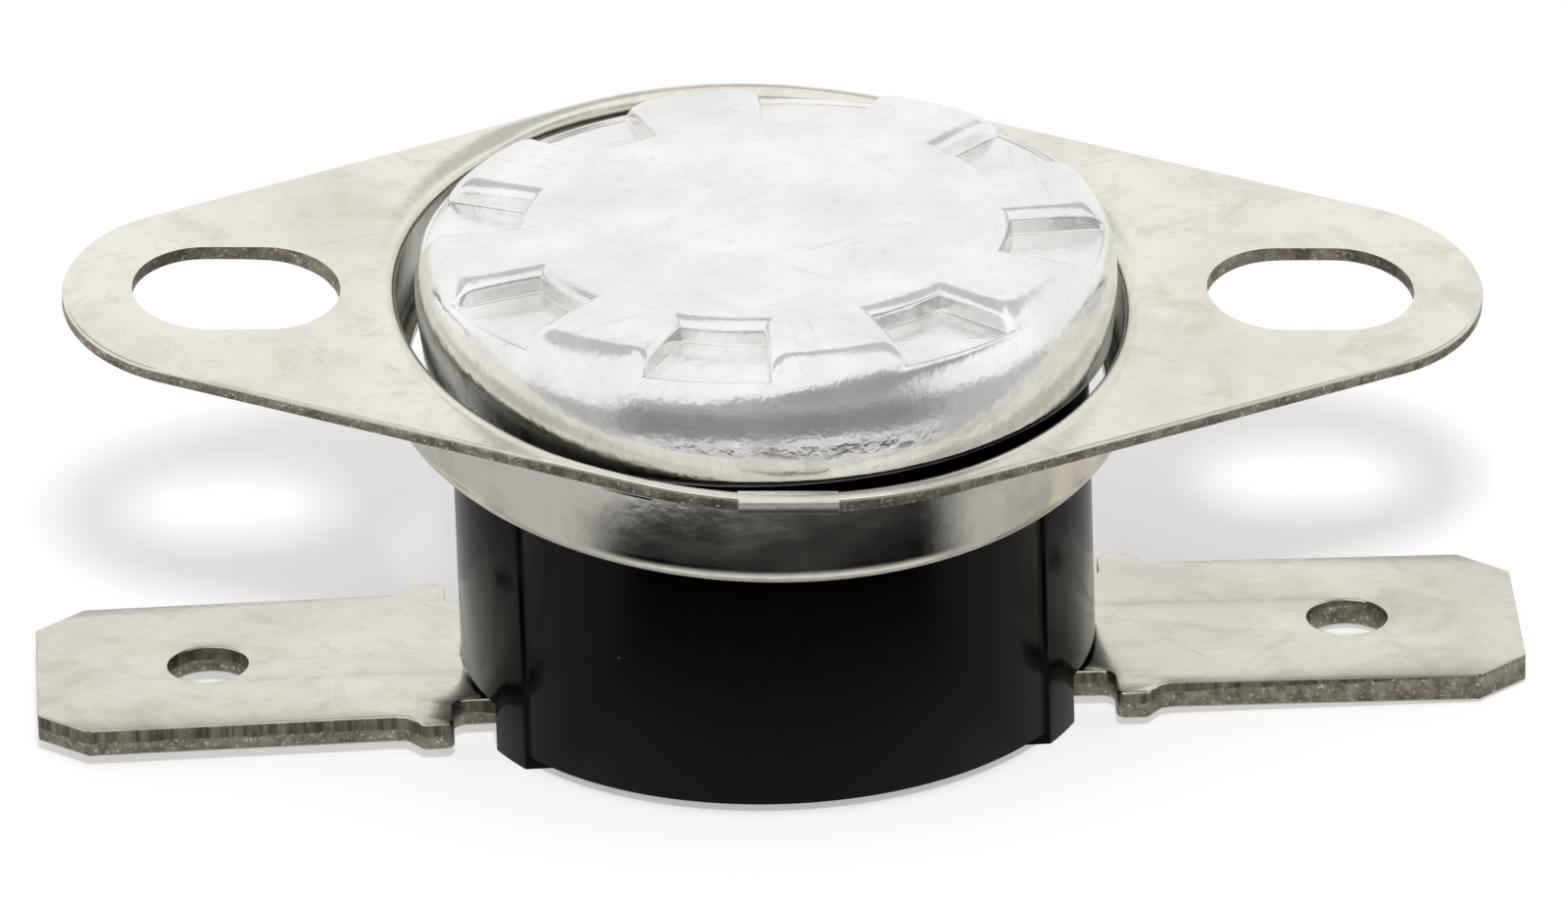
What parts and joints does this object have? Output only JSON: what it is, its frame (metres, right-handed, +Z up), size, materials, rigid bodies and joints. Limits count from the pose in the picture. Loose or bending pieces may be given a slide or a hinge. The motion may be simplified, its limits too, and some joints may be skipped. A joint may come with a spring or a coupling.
{
  "type": "bimetal thermostat",
  "caption": "Snap-action bimetal disc thermostat in a crimped aluminium cap on a black moulded base, with flat side tabs and a loose slotted mounting bracket.",
  "frame": {"origin": "on the base's axis, at the underside of its feet, where it stands", "axes": "+Z up along the base's axis to the cap's sensing face; +X to the right-hand tab, along both tabs; -Y to the front"},
  "size_m": [0.0331, 0.0172, 0.0113],
  "materials": {
    "bright_aluminium": "satin, finely scratched",
    "black_phenolic": "moulded, semi-gloss",
    "nickel_bracket": "nickel plated, satin",
    "nickel_tabs": "nickel plated, satin",
    "plated_rivets": "plated",
    "bimetal": "bare",
    "cream_ceramic": "unglazed",
    "white_ceramic": "unglazed",
    "copper_leaf": "bare",
    "brass_plate": "bare",
    "silver_contacts": "bare silver"
  },
  "bodies": {
    "base": {"base_housing": "black_phenolic", "heat_cap": "bright_aluminium", "bimetal_disc": "bimetal", "pin_guide": "cream_ceramic", "terminal_left": "nickel_tabs", "terminal_right": "nickel_tabs", "rivet_left": "plated_rivets", "rivet_right": "plated_rivets", "fixed_contact_plate": "brass_plate", "fixed_contact": "silver_contacts"},
    "bracket": {"mounting_bracket": "nickel_bracket"},
    "pin": {"push_pin": "white_ceramic"},
    "leaf": {"contact_leaf": "copper_leaf", "moving_contact": "silver_contacts"}
  },
  "joints": [
    {"name": "bracket_turn", "type": "hinge", "parent": "base", "child": "bracket", "pos_m": [-0.00011, 0.00014, 0.00958], "axis": [0.0593, -0.1412, 0.9882], "continuous": true},
    {"name": "pin_slide", "type": "slide", "parent": "base", "child": "pin", "axis": [0, 0, -1], "range_m": [0, 0.0003], "stiffness_N_per_m": 5, "springref_m": -0.0003, "deforming": ["bimetal_disc"]},
    {"name": "leaf_bend", "type": "hinge", "parent": "base", "child": "leaf", "pos_m": [-0.0046, 0, 0.00502], "axis": [0, 1, 0], "range_deg": [0, 3.8]}
  ],
  "couplings": [
    {"joint": "leaf_bend", "follows": "pin_slide", "rad_per_m": 217.39}
  ]
}
